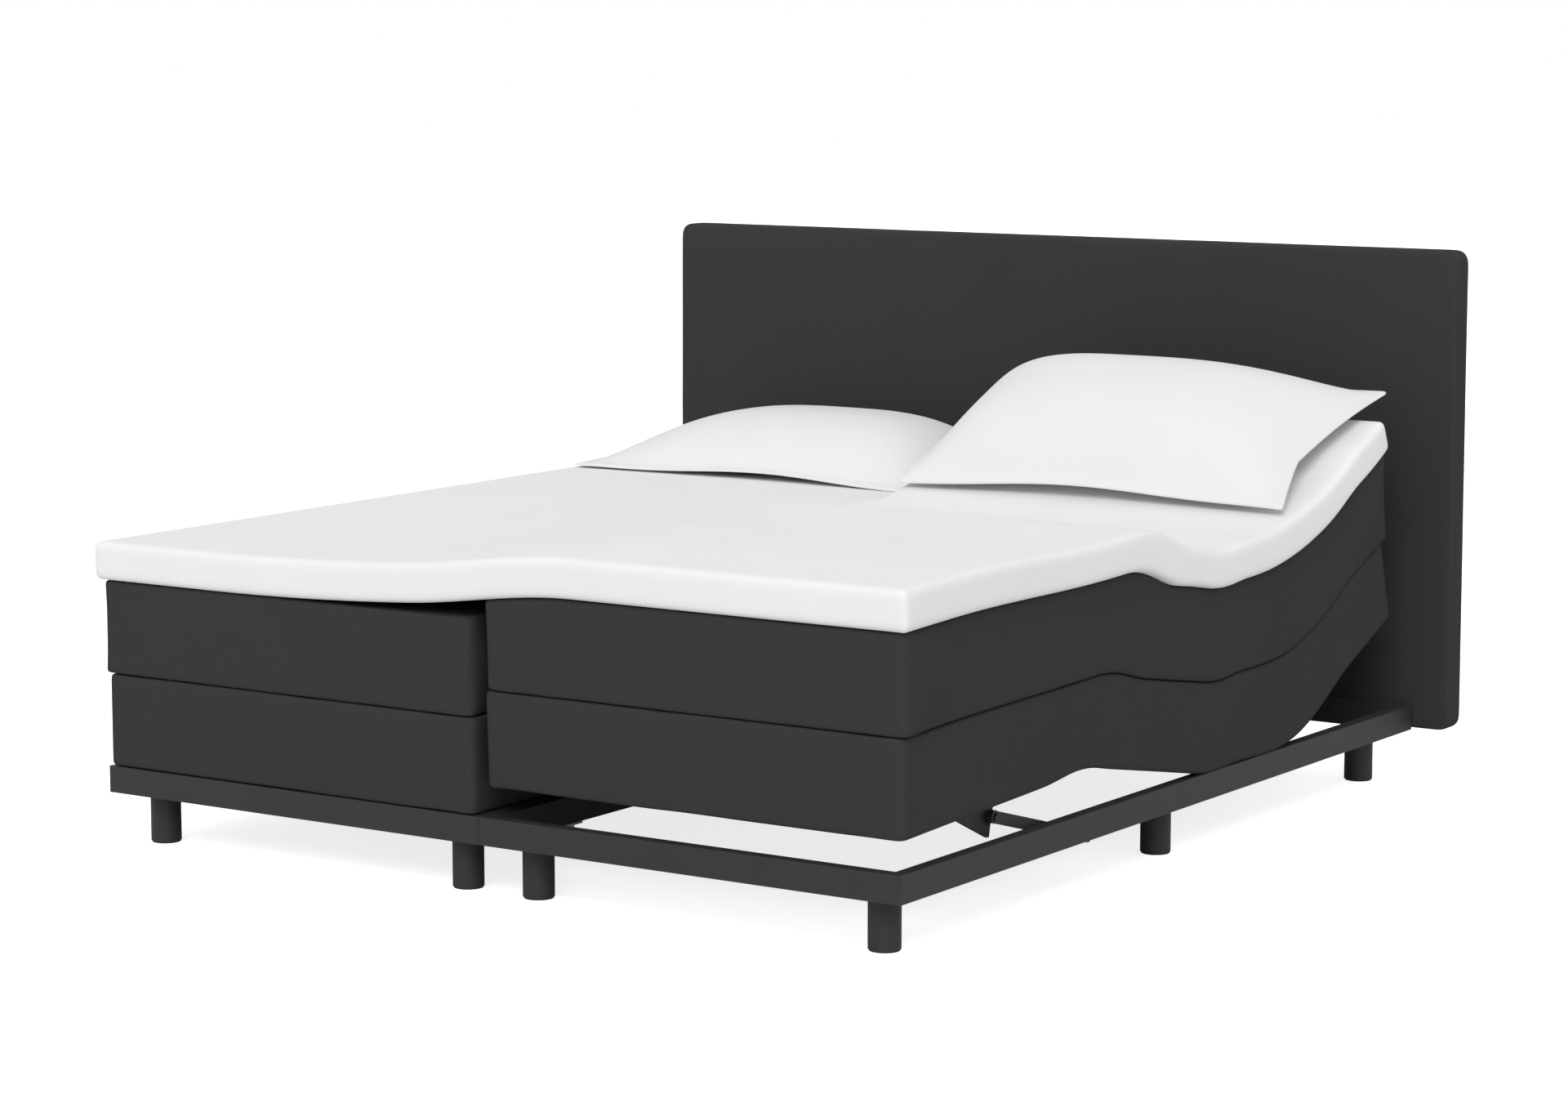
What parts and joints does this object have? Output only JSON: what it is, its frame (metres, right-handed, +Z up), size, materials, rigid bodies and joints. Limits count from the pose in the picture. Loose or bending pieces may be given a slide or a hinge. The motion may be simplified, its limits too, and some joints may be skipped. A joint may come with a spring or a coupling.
{
  "type": "adjustable bed",
  "caption": "Adjustable double bed: two motorised box-spring units on steel frames, with mattresses, a shared topper, pillows and a headboard.",
  "frame": {"origin": "on the floor under the middle of the whole bed", "axes": "+Z up, +Y from the foot end to the headboard, +X to the right for someone who stands at the foot end and faces the headboard"},
  "size_m": [1.937, 2.0942, 1.093],
  "materials": {
    "painted_steel": "satin powder coat",
    "zinc_steel": "zinc plated",
    "black_plastic": "fine grain",
    "dark_fabric": "smooth matte weave",
    "white_cover": "smooth knitted cover",
    "pillow_cotton": "smooth cotton",
    "backing_cloth": "plain black lining"
  },
  "bodies": {
    "base": {"base_frame_left": "painted_steel", "base_frame_right": "painted_steel", "legs_left": "painted_steel", "legs_right": "painted_steel", "leg_glides": "black_plastic", "frame_connectors": "zinc_steel", "headboard": "dark_fabric", "headboard_back": "backing_cloth", "headboard_brackets": "painted_steel", "control_boxes": "black_plastic", "seat_frame_left": "painted_steel", "seat_box_left": "dark_fabric", "seat_mattress_left": "dark_fabric", "back_motor_left": "black_plastic", "leg_motor_left": "black_plastic", "back_fold_left": "dark_fabric", "thigh_fold_left": "dark_fabric", "seat_frame_right": "painted_steel", "seat_box_right": "dark_fabric", "seat_mattress_right": "dark_fabric", "back_motor_right": "black_plastic", "leg_motor_right": "black_plastic", "back_fold_right": "dark_fabric", "thigh_fold_right": "dark_fabric", "topper_middle": "white_cover"},
    "back_left": {"back_frame_left": "painted_steel", "back_box_left": "dark_fabric", "back_mattress_left": "dark_fabric", "back_topper_left": "white_cover", "pillow_left": "pillow_cotton"},
    "thigh_left": {"thigh_frame_left": "painted_steel", "thigh_box_left": "dark_fabric", "thigh_mattress_left": "dark_fabric", "thigh_topper_left": "white_cover"},
    "calf_left": {"calf_frame_left": "painted_steel", "calf_box_left": "dark_fabric", "calf_mattress_left": "dark_fabric", "calf_topper_left": "white_cover"},
    "calf_link_left": {"calf_links_left": "painted_steel"},
    "back_rod_left": {"back_rod_left": "zinc_steel"},
    "leg_rod_left": {"leg_rod_left": "zinc_steel"},
    "back_right": {"back_frame_right": "painted_steel", "back_box_right": "dark_fabric", "back_mattress_right": "dark_fabric", "back_topper_right": "white_cover", "pillow_right": "pillow_cotton"},
    "thigh_right": {"thigh_frame_right": "painted_steel", "thigh_box_right": "dark_fabric", "thigh_mattress_right": "dark_fabric", "thigh_topper_right": "white_cover", "knee_fold_right": "dark_fabric", "topper_knee_fold": "white_cover"},
    "calf_right": {"calf_frame_right": "painted_steel", "calf_box_right": "dark_fabric", "calf_mattress_right": "dark_fabric", "calf_topper_right": "white_cover"},
    "calf_link_right": {"calf_links_right": "painted_steel"},
    "back_rod_right": {"back_rod_right": "zinc_steel"},
    "leg_rod_right": {"leg_rod_right": "zinc_steel"}
  },
  "joints": [
    {"name": "back_left", "type": "hinge", "parent": "base", "child": "back_left", "pos_m": [0, 0.37111, 0.209], "axis": [1, 0, 0], "range_deg": [0, 60], "deforming": ["back_fold_left", "topper_middle", "pillow_left"]},
    {"name": "legs_left", "type": "hinge", "parent": "base", "child": "thigh_left", "pos_m": [0, 0.05111, 0.209], "axis": [-1, 0, 0], "range_deg": [0, 30], "deforming": ["thigh_fold_left", "topper_middle"]},
    {"name": "calf_left", "type": "hinge", "parent": "thigh_left", "child": "calf_left", "pos_m": [0, -0.36889, 0.209], "axis": [1, 0, 0], "range_deg": [0, 36]},
    {"name": "calf_link_left", "type": "hinge", "parent": "base", "child": "calf_link_left", "pos_m": [0, -0.34789, 0.098], "axis": [-1, 0, 0], "range_deg": [0, 34.5]},
    {"name": "back_rod_left", "type": "slide", "parent": "base", "child": "back_rod_left", "axis": [0, 1, 0], "range_m": [0, 0.10624]},
    {"name": "leg_rod_left", "type": "slide", "parent": "base", "child": "leg_rod_left", "axis": [0, -1, 0], "range_m": [0, 0.04931]},
    {"name": "back_right", "type": "hinge", "parent": "base", "child": "back_right", "pos_m": [0, 0.37111, 0.209], "axis": [1, 0, 0], "range_deg": [-22.5, 37.5], "deforming": ["back_fold_right", "topper_middle", "pillow_right"]},
    {"name": "legs_right", "type": "hinge", "parent": "base", "child": "thigh_right", "pos_m": [0, 0.05111, 0.209], "axis": [-1, 0, 0], "range_deg": [-10.5, 19.5], "deforming": ["thigh_fold_right", "topper_middle", "knee_fold_right", "topper_knee_fold"]},
    {"name": "calf_right", "type": "hinge", "parent": "thigh_right", "child": "calf_right", "pos_m": [0, -0.36186, 0.28554], "axis": [1, 0, 0], "range_deg": [-12.6, 23.4]},
    {"name": "calf_link_right", "type": "hinge", "parent": "base", "child": "calf_link_right", "pos_m": [0, -0.34789, 0.098], "axis": [-1, 0, 0], "range_deg": [-12.07, 22.43]},
    {"name": "back_rod_right", "type": "slide", "parent": "base", "child": "back_rod_right", "axis": [0, 1, 0], "range_m": [-0.03984, 0.0664]},
    {"name": "leg_rod_right", "type": "slide", "parent": "base", "child": "leg_rod_right", "axis": [0, -1, 0], "range_m": [-0.01726, 0.03205]}
  ],
  "couplings": [
    {"joint": "calf_left", "follows": "legs_left", "ratio": 1.2},
    {"joint": "calf_link_left", "follows": "legs_left", "ratio": 1.15},
    {"joint": "back_rod_left", "follows": "back_left", "m_per_rad": 0.10144},
    {"joint": "leg_rod_left", "follows": "legs_left", "m_per_rad": 0.094161},
    {"joint": "calf_right", "follows": "legs_right", "ratio": 1.2},
    {"joint": "calf_link_right", "follows": "legs_right", "ratio": 1.15},
    {"joint": "back_rod_right", "follows": "back_right", "m_per_rad": 0.10144},
    {"joint": "leg_rod_right", "follows": "legs_right", "m_per_rad": 0.094161}
  ]
}
